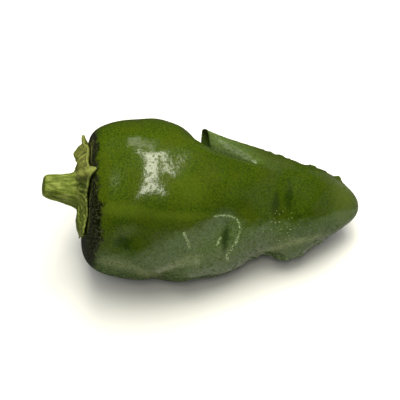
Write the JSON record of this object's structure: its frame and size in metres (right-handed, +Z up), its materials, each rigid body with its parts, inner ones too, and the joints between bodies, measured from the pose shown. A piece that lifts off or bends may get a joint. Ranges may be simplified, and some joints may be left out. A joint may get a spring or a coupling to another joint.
{
  "type": "chilli pepper",
  "caption": "Green chilli pepper lying on its side: a plump dented pod that narrows to a blunt tip, a ribbed calyx on its shoulder and a short cut stem.",
  "frame": {"origin": "on the surface the pepper lies on, under the middle of its bounding box", "axes": "+Z up, +X along the pepper from its stem to its tip, -Y towards the side with the deeper dents"},
  "size_m": [0.0744, 0.0382, 0.0391],
  "materials": {
    "pod": "waxy, glossy dark green skin",
    "calyx": "matt, fibrous, yellow-green",
    "stem": "half-matt, ribbed, light green"
  },
  "bodies": {
    "root": {"pod": "pod", "calyx": "calyx", "stem": "stem"}
  },
  "joints": []
}
